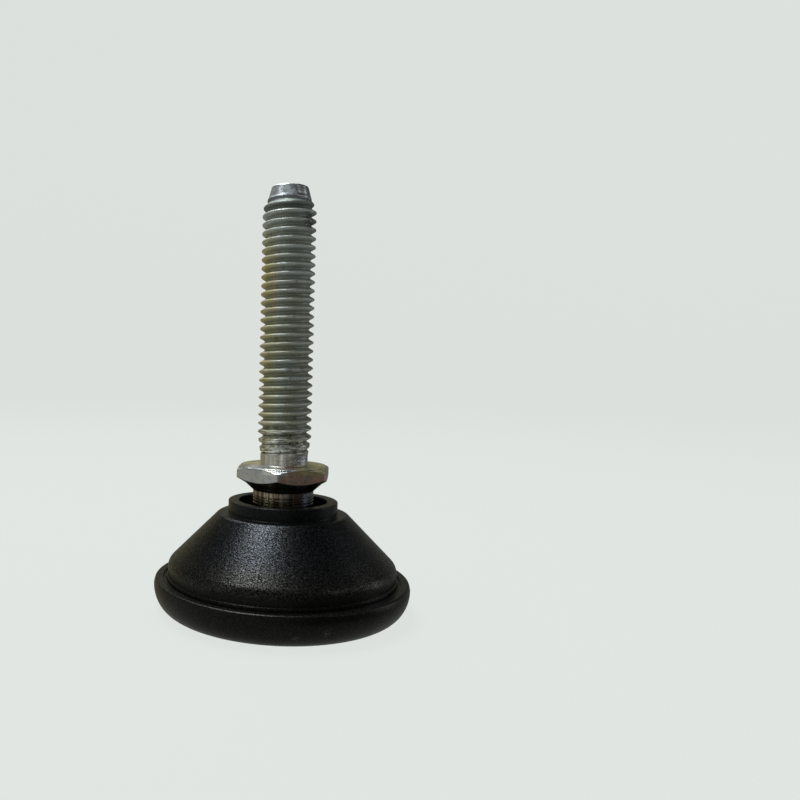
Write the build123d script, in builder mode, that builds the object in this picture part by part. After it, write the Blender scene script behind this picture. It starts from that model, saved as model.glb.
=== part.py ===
from build123d import *
from math import cos, radians, sin, sqrt, tan
import os

# Adjustable levelling foot, in millimetres, +Z up. The origin is on the floor under the spindle's axis.
# A turned steel spindle ends in a ball, which is snapped into the socket of a moulded plastic base.

# Heights and sizes of the whole foot
FOOT_H = 61.5
BASE_D = 37.4
BALL_Z = 7.3
BALL_R = 5.0
BALL_PLAY = 0.05

# Spindle, from the tip of the stud down to the ball
THREAD_D = 7.87
TIP_R = 2.66
TIP_ROUND = 0.16
PILOT_R = 3.15
PILOT_Z = 59.7
THREAD_TOP_Z = 57.9
THREAD_FOOT_Z = 24.0
SHANK_R = 3.5
SHANK_ROOT_ROUND = 0.4
HEX_ACROSS_FLATS = 12.75
HEX_CORNER_R = 7.3
HEX_TOP_Z = 21.08
HEX_TOP_FACE_R = 6.22
HEX_CHAMFER = 30.0
HEX_CORNER_TURN = -7.0
HEX_UNDER_EDGE_R = 5.75
HEX_UNDER_EDGE_Z = 18.56
NECK_R = 4.45
NECK_TOP_Z = 17.4
NECK_FOOT_Z = 12.75
NECK_LINE_DEPTH = 0.13
NECK_LINE_W = 0.22
NECK_LINES_Z = (15.7, 16.15, 16.6)
THROAT_R = 3.6
BALL_FLAT_R = 1.2
CUT_MARGIN = 1.0

# Base, outside
COLLAR_R = 8.03
COLLAR_TOP_Z = 15.85
COLLAR_ROUND = 0.15
BORE_R = 6.48
LEDGE_Z = 14.0
LEDGE_R = 9.5
LEDGE_ROUND = 0.8
BAND_R = 16.72
BAND_TOP_Z = 6.75
BAND_ROUND = 1.6
BAND_FOOT_Z = 4.95
GROOVE_IN_R = 16.9
GROOVE_OUT_R = 17.35
GROOVE_FLOOR_Z = 4.4
RIM_TOP_Z = 4.65
RIM_EDGE_R = 18.5
RIM_ROUND = 0.35
PARTING_Z = 3.85
RIM_SIDE_Z = 2.6
RIM_IN_R = 13.9
LAND_IN_R = 15.1
LAND_OUT_R = 15.7

# Base, inside
LIP_R = 4.7
LIP_TOP_Z = 10.0
FLARE_TOP_Z = 12.4
WALL = 2.0
POCKET_OUT_R = 14.4
POCKET_ROUND = 0.8
HUB_FOOT_Z = 0.95
HUB_FOOT_R = 6.3
HUB_ROOT_R = 7.3
HUB_ROUND = 2.4
RIB_T = 0.9
RIB_COUNT = 4
RIB_START = 45.0
RIB_ROOT = 0.3
RIB_FOOT_Z = 4.4
RIB_SWEEP_R = 3.0
EIGHTH_TURN = radians(45)
SOCKET_ARC_TURN = radians(10)


def nearest(sketch, x, z):
    """The sketch's corner at this place."""
    return sketch.vertices().sort_by_distance((x, z, 0))[0]


def at_corners(sketch, places):
    """The sketch's corners at these places."""
    return [nearest(sketch, x, z) for x, z in places]


# Spindle: one steel bar turned from hexagon stock. The thread's crests fill the plain cylinder.
thread_r = THREAD_D / 2
flats_corner_r = HEX_ACROSS_FLATS / 2 / cos(radians(30))
chamfer_rise = tan(radians(HEX_CHAMFER))
hex_corner_top_z = HEX_TOP_Z - (HEX_CORNER_R - HEX_TOP_FACE_R) * chamfer_rise
hex_corner_foot_z = HEX_UNDER_EDGE_Z + (HEX_CORNER_R - HEX_UNDER_EDGE_R) * chamfer_rise
throat_foot_z = BALL_Z + sqrt(BALL_R**2 - THROAT_R**2)
ball_flat_z = BALL_Z - sqrt(BALL_R**2 - BALL_FLAT_R**2)

neck_lines = []
for z in NECK_LINES_Z:
    neck_lines += [
        (NECK_R, z - NECK_LINE_W / 2),
        (NECK_R - NECK_LINE_DEPTH, z),
        (NECK_R, z + NECK_LINE_W / 2),
    ]

with BuildPart() as spindle:
    with BuildSketch(Plane.XZ) as turning:
        with BuildLine():
            Polyline(
                (0, ball_flat_z),
                (BALL_FLAT_R, ball_flat_z),
            )
            ThreePointArc(
                (BALL_FLAT_R, ball_flat_z),
                (BALL_R, BALL_Z),
                (THROAT_R, throat_foot_z),
            )
            Polyline(
                (THROAT_R, throat_foot_z),
                (THROAT_R, NECK_FOOT_Z - (NECK_R - THROAT_R)),
                (NECK_R, NECK_FOOT_Z),
                *neck_lines,
                (NECK_R, NECK_TOP_Z),
                (HEX_UNDER_EDGE_R, HEX_UNDER_EDGE_Z),
                (HEX_CORNER_R, hex_corner_foot_z),
                (HEX_CORNER_R, hex_corner_top_z),
                (HEX_TOP_FACE_R, HEX_TOP_Z),
                (SHANK_R, HEX_TOP_Z),
                (SHANK_R, THREAD_FOOT_Z - (thread_r - SHANK_R)),
                (thread_r, THREAD_FOOT_Z),
                (thread_r, THREAD_TOP_Z),
                (PILOT_R, PILOT_Z),
                (TIP_R, FOOT_H),
                (0, FOOT_H),
                (0, ball_flat_z),
            )
        make_face()
        fillet(at_corners(turning, [(SHANK_R, HEX_TOP_Z)]), SHANK_ROOT_ROUND)
        fillet(at_corners(turning, [(TIP_R, FOOT_H)]), TIP_ROUND)
    revolve(axis=Axis.Z)
    # The six flats stop at the turned chamfers, and leave a narrow turned strip at each corner
    with BuildSketch(Plane.XY.offset(HEX_UNDER_EDGE_Z)):
        Circle(flats_corner_r + CUT_MARGIN)
        RegularPolygon(flats_corner_r, 6, rotation=HEX_CORNER_TURN - 90, mode=Mode.SUBTRACT)
    extrude(amount=HEX_TOP_Z - HEX_UNDER_EDGE_Z, mode=Mode.SUBTRACT)

spindle.part.label = "spindle"


# Base: one moulding. A cone stands on a thick rim, with a collar on top and a socket boss inside.
cone_slope = (LEDGE_Z - BAND_TOP_Z) / (BAND_R - LEDGE_R)
wall_drop = WALL * sqrt(1 + cone_slope**2)
roof_z = LEDGE_Z - WALL
roof_r = LEDGE_R + (LEDGE_Z - roof_z - wall_drop) / cone_slope
pocket_side_z = roof_z - (POCKET_OUT_R - roof_r) * cone_slope
socket_r = BALL_R + BALL_PLAY
lip_foot_z = BALL_Z + sqrt(socket_r**2 - LIP_R**2)
base_r = BASE_D / 2

# A rib's edge lies deep beside the hub and sweeps down into the rim's inner face
rib_in_r = HUB_FOOT_R - RIB_ROOT
rib_sweep_r = RIM_IN_R + RIB_ROOT
rib_out_r = rib_sweep_r + RIB_SWEEP_R / 3
with BuildPart() as rib:
    with BuildSketch(Plane.XZ) as web:
        with BuildLine():
            Line((rib_in_r, RIB_FOOT_Z), (rib_sweep_r - RIB_SWEEP_R, RIB_FOOT_Z))
            ThreePointArc(
                (rib_sweep_r - RIB_SWEEP_R, RIB_FOOT_Z),
                (
                    rib_sweep_r - RIB_SWEEP_R * (1 - sin(EIGHTH_TURN)),
                    RIB_FOOT_Z - RIB_SWEEP_R * (1 - cos(EIGHTH_TURN)),
                ),
                (rib_sweep_r, RIB_FOOT_Z - RIB_SWEEP_R),
            )
            Polyline(
                (rib_sweep_r, RIB_FOOT_Z - RIB_SWEEP_R),
                (rib_out_r, RIB_FOOT_Z - RIB_SWEEP_R),
                (rib_out_r, pocket_side_z + WALL / 2),
                (roof_r, roof_z + WALL / 2),
                (HUB_ROOT_R - RIB_ROOT, roof_z + WALL / 2),
                (rib_in_r, LIP_TOP_Z),
                (rib_in_r, RIB_FOOT_Z),
            )
        make_face()
    extrude(amount=RIB_T / 2, both=True)

with BuildPart() as base:
    with BuildSketch(Plane.XZ) as section:
        with BuildLine():
            ThreePointArc(
                (0, BALL_Z - socket_r),
                (socket_r * cos(EIGHTH_TURN), BALL_Z - socket_r * sin(EIGHTH_TURN)),
                (socket_r, BALL_Z),
            )
            ThreePointArc(
                (socket_r, BALL_Z),
                (socket_r * cos(SOCKET_ARC_TURN), BALL_Z + socket_r * sin(SOCKET_ARC_TURN)),
                (LIP_R, lip_foot_z),
            )
            Polyline(
                (LIP_R, lip_foot_z),
                (LIP_R, LIP_TOP_Z),
                (BORE_R, FLARE_TOP_Z),
                (BORE_R, COLLAR_TOP_Z),
                (COLLAR_R, COLLAR_TOP_Z),
                (COLLAR_R, LEDGE_Z),
                (LEDGE_R, LEDGE_Z),
                (BAND_R, BAND_TOP_Z),
                (BAND_R, BAND_FOOT_Z),
                (GROOVE_IN_R, GROOVE_FLOOR_Z),
                (GROOVE_OUT_R, GROOVE_FLOOR_Z),
                (GROOVE_OUT_R, RIM_TOP_Z),
                (RIM_EDGE_R, RIM_TOP_Z),
                (base_r, PARTING_Z),
            )
            EllipticalCenterArc(
                (LAND_OUT_R, PARTING_Z),
                base_r - LAND_OUT_R,
                PARTING_Z,
                start_angle=270,
                arc_size=90,
            )
            Line((LAND_OUT_R, 0), (LAND_IN_R, 0))
            EllipticalCenterArc(
                (LAND_IN_R, RIM_SIDE_Z),
                LAND_IN_R - RIM_IN_R,
                RIM_SIDE_Z,
                start_angle=180,
                arc_size=90,
            )
            Polyline(
                (RIM_IN_R, RIM_SIDE_Z),
                (POCKET_OUT_R, pocket_side_z),
                (roof_r, roof_z),
                (HUB_ROOT_R, roof_z),
                (HUB_FOOT_R, HUB_FOOT_Z),
                (0, HUB_FOOT_Z),
                (0, BALL_Z - socket_r),
            )
        make_face()
        fillet(at_corners(section, [(HUB_FOOT_R, HUB_FOOT_Z)]), HUB_ROUND)
        fillet(at_corners(section, [(HUB_ROOT_R, roof_z), (POCKET_OUT_R, pocket_side_z)]), POCKET_ROUND)
        fillet(at_corners(section, [(LEDGE_R, LEDGE_Z)]), LEDGE_ROUND)
        fillet(at_corners(section, [(BAND_R, BAND_TOP_Z)]), BAND_ROUND)
        fillet(at_corners(section, [(RIM_EDGE_R, RIM_TOP_Z)]), RIM_ROUND)
        fillet(at_corners(section, [(COLLAR_R, COLLAR_TOP_Z), (BORE_R, COLLAR_TOP_Z)]), COLLAR_ROUND)
    revolve(axis=Axis.Z)
    with PolarLocations(0, RIB_COUNT, start_angle=RIB_START):
        add(rib.part)

base.part.label = "base"

os.makedirs("parts", exist_ok=True)
export_step(spindle.part, "parts/spindle.step")
export_step(base.part, "parts/base.step")
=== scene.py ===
from math import atan2, cos, pi, radians, sin, sqrt, tan

import bmesh
import bpy
from mathutils import Matrix, Vector, noise


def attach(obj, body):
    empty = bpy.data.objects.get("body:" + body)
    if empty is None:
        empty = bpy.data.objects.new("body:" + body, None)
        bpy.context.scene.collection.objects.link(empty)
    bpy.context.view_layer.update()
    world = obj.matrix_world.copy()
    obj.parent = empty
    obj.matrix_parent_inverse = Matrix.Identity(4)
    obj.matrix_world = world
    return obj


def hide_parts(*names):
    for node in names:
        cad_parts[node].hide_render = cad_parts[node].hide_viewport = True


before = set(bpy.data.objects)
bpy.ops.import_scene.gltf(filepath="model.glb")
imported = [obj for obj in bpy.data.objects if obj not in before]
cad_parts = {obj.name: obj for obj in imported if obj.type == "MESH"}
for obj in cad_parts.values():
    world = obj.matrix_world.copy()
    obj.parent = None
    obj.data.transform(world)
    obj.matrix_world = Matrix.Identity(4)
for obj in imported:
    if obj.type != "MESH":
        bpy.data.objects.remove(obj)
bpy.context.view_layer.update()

# Camera
# The picture was taken from a hand's breadth away, a little above the middle of the foot. The foot stands
# left of the picture's middle, which the lens shift gives. Places here are in metres, like the frame.
CAMERA_PLACE = (0.0, -0.107836, 0.034598)
CAMERA_TURN = 2.758
CAMERA_DOWN = 2.188
CAMERA_ROLL = 1.233
SENSOR_W = 36.0
LENS = 33.026
LENS_SHIFT = 0.1875
NEAREST = 0.005
FARTHEST = 20.0

scene = bpy.context.scene
scene.view_settings.view_transform = "Standard"

camera_data = bpy.data.cameras.new("camera")
camera_data.sensor_width = SENSOR_W
camera_data.lens = LENS
camera_data.shift_x = LENS_SHIFT
camera_data.clip_start = NEAREST
camera_data.clip_end = FARTHEST
camera = bpy.data.objects.new("camera", camera_data)
scene.collection.objects.link(camera)
camera.matrix_world = (
    Matrix.Translation(CAMERA_PLACE)
    @ Matrix.Rotation(radians(CAMERA_TURN), 4, "Z")
    @ Matrix.Rotation(radians(90.0 - CAMERA_DOWN), 4, "X")
    @ Matrix.Rotation(radians(CAMERA_ROLL), 4, "Z")
)
scene.camera = camera


# Studio
# A pale paper dish curves up all round the foot, nearly even in tone, and the foot doesn't mirror it.
# Softboxes hang overhead and stand at both sides, and the room round them is dimmer at the right. Meshes
# are made in millimetres.
MM = 0.001
PAPER = (0.730, 0.767, 0.737)
PAPER_GLOW = 0.965
PAPER_LIT = 0.07
DISH_MIDDLE_R = 300.0
DISH_FLOOR_R = 1100.0
DISH_COVE_R = 500.0
DISH_WALL_TOP = 1800.0
DISH_SIDES = 96
COVE_STEPS = 12


def mesh_piece(name, points, faces):
    """An object with this mesh, given in millimetres, with smooth faces."""
    mesh = bpy.data.meshes.new(name)
    mesh.from_pydata([Vector(point) * MM for point in points], [], faces)
    mesh.polygons.foreach_set("use_smooth", [True] * len(mesh.polygons))
    mesh.update()
    piece = bpy.data.objects.new(name, mesh)
    scene.collection.objects.link(piece)
    return piece


def turned_piece(name, columns, closed=True):
    """A piece from one (r, z) outline per direction, each from the axis and, if closed, back to the axis."""
    end = -1 if closed else None
    first_outline = columns[0][1]
    points = [(0.0, 0.0, first_outline[0][1])]
    for turn, outline in columns:
        points += [(r * cos(turn), r * sin(turn), z) for r, z in outline[1:end]]
    rows = len(first_outline[1:end])
    faces = []
    for side in range(len(columns)):
        here = 1 + side * rows
        there = 1 + (side + 1) % len(columns) * rows
        faces.append((0, here, there))
        for row in range(rows - 1):
            faces.append((here + row, here + row + 1, there + row + 1, there + row))
        if closed:
            faces.append((here + rows - 1, len(points), there + rows - 1))
    if closed:
        points.append((0.0, 0.0, first_outline[-1][1]))
    return mesh_piece(name, points, faces)


dish_outline = [(0.0, 0.0), (DISH_MIDDLE_R, 0.0), (DISH_FLOOR_R, 0.0)]
for step in range(1, COVE_STEPS + 1):
    lift = radians(90.0 * step / COVE_STEPS)
    dish_outline.append((DISH_FLOOR_R + DISH_COVE_R * sin(lift), DISH_COVE_R * (1.0 - cos(lift))))
dish_outline.append((DISH_FLOOR_R + DISH_COVE_R, DISH_WALL_TOP))
dish_columns = [(2 * pi * side / DISH_SIDES, dish_outline) for side in range(DISH_SIDES)]
dish = turned_piece("dish", dish_columns, closed=False)
dish.visible_glossy = False
dish.visible_diffuse = False
dish.visible_shadow = False

# The paper glows evenly, takes a little shadow, and is clear from below
paper = bpy.data.materials.new("paper")
paper.use_nodes = True
tree = paper.node_tree
tree.nodes.clear()
paper_glow = tree.nodes.new("ShaderNodeEmission")
paper_glow.inputs["Color"].default_value = (*PAPER, 1.0)
paper_glow.inputs["Strength"].default_value = PAPER_GLOW
paper_lit = tree.nodes.new("ShaderNodeBsdfDiffuse")
paper_lit.inputs["Color"].default_value = tuple(part * PAPER_LIT for part in PAPER) + (1.0,)
paper_sum = tree.nodes.new("ShaderNodeAddShader")
tree.links.new(paper_glow.outputs[0], paper_sum.inputs[0])
tree.links.new(paper_lit.outputs[0], paper_sum.inputs[1])
clear = tree.nodes.new("ShaderNodeBsdfTransparent")
side_of = tree.nodes.new("ShaderNodeNewGeometry")
one_side = tree.nodes.new("ShaderNodeMixShader")
tree.links.new(side_of.outputs["Backfacing"], one_side.inputs[0])
tree.links.new(paper_sum.outputs[0], one_side.inputs[1])
tree.links.new(clear.outputs[0], one_side.inputs[2])
paper_out = tree.nodes.new("ShaderNodeOutputMaterial")
tree.links.new(one_side.outputs[0], paper_out.inputs["Surface"])
dish.data.materials.append(paper)


def softbox(name, place, aim, width, height, power, colour):
    """A rectangular soft light that the camera doesn't see."""
    data = bpy.data.lights.new(name, "AREA")
    data.shape = "RECTANGLE"
    data.size = width
    data.size_y = height
    data.energy = power
    data.color = colour
    light = bpy.data.objects.new(name, data)
    light.location = place
    light.rotation_mode = "QUATERNION"
    light.rotation_quaternion = (Vector(aim) - Vector(place)).to_track_quat("-Z", "Y")
    light.visible_camera = False
    scene.collection.objects.link(light)


HEXAGON_PLACE = (0.0, 0.0, 0.03)
THREAD_PLACE = (0.0, 0.0, 0.05)
COOL_OVERHEAD = (0.92, 0.97, 1.0)
COOL_LEFT = (0.95, 0.98, 1.0)
COOL_RIGHT = (0.93, 0.97, 1.0)
NEUTRAL = (1.0, 1.0, 1.0)
WARM = (1.0, 1.0, 0.97)
softbox("overhead", (-0.112, 0.01, 0.40), HEXAGON_PLACE, 0.16, 0.16, 1.08, COOL_OVERHEAD)
softbox("ceiling", (-0.063, 0.165, 0.43), HEXAGON_PLACE, 0.17, 0.17, 0.215, WARM)
softbox("behind", (-0.10, 0.30, 0.40), HEXAGON_PLACE, 0.30, 0.20, 0.50, NEUTRAL)
softbox("left", (-0.29, -0.17, 0.23), THREAD_PLACE, 0.13, 0.16, 0.07, COOL_LEFT)
softbox("front_right", (0.275, -0.16, 0.21), THREAD_PLACE, 0.05, 0.10, 0.045, WARM)
softbox("right", (0.36, 0.06, 0.12), HEXAGON_PLACE, 0.10, 0.30, 0.12, COOL_RIGHT)

# What the steel mirrors: a room that is lighter at the left, with a dark corner and a dim window
DARK_CORNER = (0.73, -0.67, -0.14)
WINDOW = (0.0, -0.68, 0.73)
ROOM_LEFT = (0.36, 0.36, 0.335)
ROOM_RIGHT = (0.14, 0.143, 0.14)
BACK_LEFT = (0.26, 0.245, 0.15)
BACK_RIGHT = (0.15, 0.155, 0.145)
CORNER_SHADE = (0.085, 0.08, 0.075)
ROOM_FLOOR = (0.33, 0.345, 0.32)
ROOM_CEILING = (0.042, 0.043, 0.044)
WINDOW_LIGHT = (0.22, 0.235, 0.245)


def link_value(tree, socket, value):
    """Sets a socket to a number, or links it to another socket."""
    if hasattr(value, "is_linked"):
        tree.links.new(value, socket)
    else:
        socket.default_value = value


def ramp(tree, value, start, end, low=0.0, high=1.0, soft=True):
    """The value mapped from start..end to low..high, with soft or straight ends."""
    node = tree.nodes.new("ShaderNodeMapRange")
    node.interpolation_type = "SMOOTHSTEP" if soft else "LINEAR"
    for key, number in (("From Min", start), ("From Max", end), ("To Min", low), ("To Max", high)):
        link_value(tree, node.inputs[key], number)
    link_value(tree, node.inputs["Value"], value)
    return node.outputs[0]


def blend(tree, factor, first, second):
    """Two colours mixed by a factor."""
    node = tree.nodes.new("ShaderNodeMix")
    node.data_type = "RGBA"
    link_value(tree, node.inputs[0], factor)
    for socket, value in ((node.inputs[6], first), (node.inputs[7], second)):
        link_value(tree, socket, (*value, 1.0) if isinstance(value, tuple) else value)
    return node.outputs[2]


def facing(tree, heading, aim, edge, full):
    """1 where a heading points along the aim, by the cosine between them."""
    node = tree.nodes.new("ShaderNodeVectorMath")
    node.operation = "DOT_PRODUCT"
    node.inputs[1].default_value = aim
    tree.links.new(heading, node.inputs[0])
    return ramp(tree, node.outputs["Value"], edge, full)


world = bpy.data.worlds.new("room")
scene.world = world
world.use_nodes = True
tree = world.node_tree
tree.nodes.clear()
heading = tree.nodes.new("ShaderNodeTexCoord").outputs["Generated"]
heading_parts = tree.nodes.new("ShaderNodeSeparateXYZ")
tree.links.new(heading, heading_parts.inputs[0])
heading_x, heading_y, heading_z = heading_parts.outputs
side_light = ramp(tree, heading_x, 0.8, -0.8)
room_front = blend(tree, side_light, ROOM_RIGHT, ROOM_LEFT)
room_back = blend(tree, side_light, BACK_RIGHT, BACK_LEFT)
room_walls = blend(tree, ramp(tree, heading_y, 0.1, 0.6), room_front, room_back)
room_walls = blend(tree, facing(tree, heading, DARK_CORNER, 0.70, 0.92), room_walls, CORNER_SHADE)
room_low = blend(tree, ramp(tree, heading_z, -0.2, -0.7), room_walls, ROOM_FLOOR)
room_high = blend(tree, ramp(tree, heading_z, 0.15, 0.6), room_low, ROOM_CEILING)
room_colour = blend(tree, facing(tree, heading, WINDOW, 0.86, 0.97), room_high, WINDOW_LIGHT)
room = tree.nodes.new("ShaderNodeBackground")
tree.links.new(room_colour, room.inputs["Color"])
room_out = tree.nodes.new("ShaderNodeOutputWorld")
tree.links.new(room.outputs[0], room_out.inputs["Surface"])


# Stud
# The spindle's upper end: an M8 thread rolled on the bar, over a plain shank and under a tapered tip. Its
# last turns fade out at both ends. The zinc plate is dull, with a painted warm reflection at the left,
# painted shade at the right, in the roots and over the first turn, and painted highlights at the foot and the
# tip, where it is also worn smoother.
THREAD_R = 3.935
SHANK_R = 3.5
PITCH = 1.25
CREST_Z = 56.55
STUD_TOP_Z = 61.5
STUD_FOOT_Z = 20.8
ROOT_R = 3.2
TIP_R = 2.66
TIP_ROUND = 0.16
PILOT_R = 3.15
PILOT_Z = 59.7
NICK_DEPTH = 0.035
ROOT_RUN_OUT = (25.2, 21.4)
CREST_RUN_OUT = (25.4, 22.6)
GROOVE_EDGE = (58.9, 59.5)
LEAD_IN = (57.8, 60.1)

ZINC = (0.60, 0.66, 0.64)
WARM_ZINC = (0.56, 0.59, 0.53)
MOTTLED_ZINC = (0.44, 0.48, 0.46)
SHADED_ZINC = (0.36, 0.38, 0.34)
WARM_REFLECTION_ZINC = (0.64, 0.56, 0.27)
OLIVE_ZINC = (0.56, 0.55, 0.40)
GRAIN_PIT = (0.30, 0.32, 0.29)
GRAIN_PEAK = (0.82, 0.86, 0.82)
ROOT_SHADE = (0.24, 0.27, 0.20)
SMUDGE = (0.16, 0.15, 0.12)
OIL = (0.05, 0.05, 0.045)
SHANK_HIGHLIGHT_LEFT = (0.98, 0.97, 0.90)
SHANK_BRIGHT_SHADED_RIGHT = (0.52, 0.54, 0.58)
SHANK_DARK_LEFT = (0.56, 0.55, 0.47)
SHANK_DARK_SHADED_RIGHT = (0.24, 0.25, 0.27)
SCRATCH_DARK = (0.20, 0.20, 0.15)
SCRATCH_BRIGHT = (0.98, 0.98, 0.94)
FLANK_SHINE = (0.95, 0.95, 0.92)
ROOT_SHADE_LINE = (0.07, 0.07, 0.05)
FIRST_TURN_SHADE = (0.20, 0.22, 0.19)
TIP_GROOVE_SHADE = (0.17, 0.20, 0.20)
TIP_HIGHLIGHT = (0.86, 0.92, 0.95)
TIP_MARK = (0.42, 0.44, 0.44)
TIP_SHADE = (0.40, 0.43, 0.43)

# Heights and sideways places where the looks change, in millimetres. A zone has a lower and an upper edge.
TURNS_ZONE = ((24.6, 26.0), (59.2, 59.6))
OIL_ZONE = ((54.6, 55.4), (57.0, 58.0))
RUN_OUT_ZONE = ((22.6, 22.8), (25.8, 27.4))
SCRATCH_ZONE = ((22.6, 22.8), (25.6, 28.0))
CRINKLE_ZONE = ((22.6, 23.4), (25.4, 27.5))
FIRST_TURN_ZONE = ((57.6, 58.2), (58.9, 59.2))
TIP_GROOVE_ZONE = ((58.95, 59.15), (59.6, 59.75))
AMBER_TOP = (57.0, 50.0)
AMBER_FOOT = (22.0, 26.0)
AMBER_SIDE = (0.2, -2.4)
AMBER_UNEVEN = 1.6
OLIVE_TOP = (50.0, 38.0)
ROOT_DEPTH = (3.7, 3.3)
SHADED_SIDE = (0.2, 3.2)
OIL_SIDE = (1.4, 3.0)
SHANK_TOP = (23.4, 22.9)
SHANK_SIDE = (0.2, 1.8)
SHINE_TOP = (26.2, 25.2)
TIP_FOOT = (59.6, 59.75)
TIP_MARK_LEFT = (-0.7, -0.3)
TIP_MARK_RIGHT = (1.2, 0.8)
TIP_SHADED_SIDE = (0.9, 1.5)
BRIGHT_FOOT = (27.2, 24.4)
DULL_SIDE = (-0.5, -2.5)
STREAK_TOP = (24.6, 22.8)


def calc(tree, operation, *values):
    """A Math node on these numbers or sockets."""
    node = tree.nodes.new("ShaderNodeMath")
    node.operation = operation
    for socket, value in zip(node.inputs, values):
        link_value(tree, socket, value)
    return node.outputs[0]


def product(tree, *factors):
    """The product of several factors."""
    total = factors[0]
    for factor in factors[1:]:
        total = calc(tree, "MULTIPLY", total, factor)
    return total


def fade(tree, value, edge, low=0.0, high=1.0, soft=True):
    """The value mapped over an edge in millimetres to low..high."""
    return ramp(tree, value, edge[0] * MM, edge[1] * MM, low, high, soft)


def zone(tree, value, edges):
    """1 between two soft edges, given in millimetres from the lower to the upper."""
    lower, upper = edges
    return product(tree, fade(tree, value, lower), fade(tree, value, upper[::-1]))


def material(name):
    """A material with an empty tree but for its surface shader and Object coordinates."""
    new = bpy.data.materials.new(name)
    new.use_nodes = True
    nodes = new.node_tree.nodes
    nodes.clear()
    shader = nodes.new("ShaderNodeBsdfPrincipled")
    out = nodes.new("ShaderNodeOutputMaterial")
    new.node_tree.links.new(shader.outputs[0], out.inputs["Surface"])
    place = nodes.new("ShaderNodeTexCoord").outputs["Object"]
    return new, new.node_tree, shader, place


def stretched(tree, place, across, upright, shift=0.0):
    """Object coordinates scaled across and upright, and shifted by some metres."""
    node = tree.nodes.new("ShaderNodeMapping")
    node.inputs["Location"].default_value = (shift, shift, shift)
    node.inputs["Scale"].default_value = (across, across, upright)
    tree.links.new(place, node.inputs["Vector"])
    return node.outputs[0]


def cloud(tree, place, scale, detail=3.0, roughness=0.5):
    """Noise between 0 and 1, with this many features per metre."""
    node = tree.nodes.new("ShaderNodeTexNoise")
    node.inputs["Scale"].default_value = scale
    node.inputs["Detail"].default_value = detail
    node.inputs["Roughness"].default_value = roughness
    tree.links.new(place, node.inputs["Vector"])
    return node.outputs["Fac"]


def bump(tree, height, depth, strength=1.0, under=None):
    """Relief of this depth in millimetres, on top of another relief."""
    node = tree.nodes.new("ShaderNodeBump")
    node.inputs["Distance"].default_value = depth * MM
    node.inputs["Strength"].default_value = strength
    tree.links.new(height, node.inputs["Height"])
    if under is not None:
        tree.links.new(under, node.inputs["Normal"])
    return node.outputs[0]


def axes_of(tree, place):
    """The coordinates' parts, and their distance from the spindle's axis."""
    node = tree.nodes.new("ShaderNodeSeparateXYZ")
    tree.links.new(place, node.inputs[0])
    x, y, z = node.outputs
    r = calc(tree, "SQRT", calc(tree, "ADD", calc(tree, "MULTIPLY", x, x), calc(tree, "MULTIPLY", y, y)))
    return x, y, z, r


def aged_zinc(tree, place, axes, mottle, grain):
    """The thread's colour along its whole length, before the marks at its ends."""
    x, _, z, r = axes
    patches = cloud(tree, stretched(tree, place, 1.0, 1.0, 0.0123), 420.0, 4.0)
    tint = blend(tree, ramp(tree, patches, 0.38, 0.66), ZINC, WARM_ZINC)
    tint = blend(tree, ramp(tree, mottle, 0.50, 0.74, 0.0, 0.7), tint, MOTTLED_ZINC)

    # A painted warm reflection on the thread's left side, with an uneven edge, fading out near the top and
    # part way at the foot
    uneven_x = calc(tree, "MULTIPLY_ADD", patches, AMBER_UNEVEN * MM, x)
    amber_height = product(tree, fade(tree, z, AMBER_TOP), fade(tree, z, AMBER_FOOT, 0.4, 1.0))
    amber = product(tree, fade(tree, uneven_x, AMBER_SIDE), amber_height, 0.95)
    tint = blend(tree, amber, tint, WARM_REFLECTION_ZINC)
    olive = product(tree, fade(tree, z, OLIVE_TOP), ramp(tree, patches, 0.36, 0.60), 0.7)
    tint = blend(tree, olive, tint, OLIVE_ZINC)
    # Painted shade deep in the roots along the threaded length
    root = product(tree, fade(tree, r, ROOT_DEPTH), zone(tree, z, TURNS_ZONE), 0.50)
    tint = blend(tree, root, tint, ROOT_SHADE)
    tint = blend(tree, ramp(tree, grain, 0.52, 0.66, 0.0, 0.45), tint, GRAIN_PIT)
    tint = blend(tree, ramp(tree, grain, 0.48, 0.36, 0.0, 0.45), tint, GRAIN_PEAK)
    tint = blend(tree, fade(tree, x, SHADED_SIDE, 0.0, 0.34), tint, SHADED_ZINC)

    smudge = cloud(tree, stretched(tree, place, 1.0, 0.45), 900.0, 3.0)
    tint = blend(tree, ramp(tree, smudge, 0.62, 0.74, 0.0, 0.5), tint, SMUDGE)
    oil = product(tree, fade(tree, x, OIL_SIDE), zone(tree, z, OIL_ZONE), ramp(tree, mottle, 0.38, 0.55))
    return blend(tree, product(tree, oil, 0.85), tint, OIL)


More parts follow.
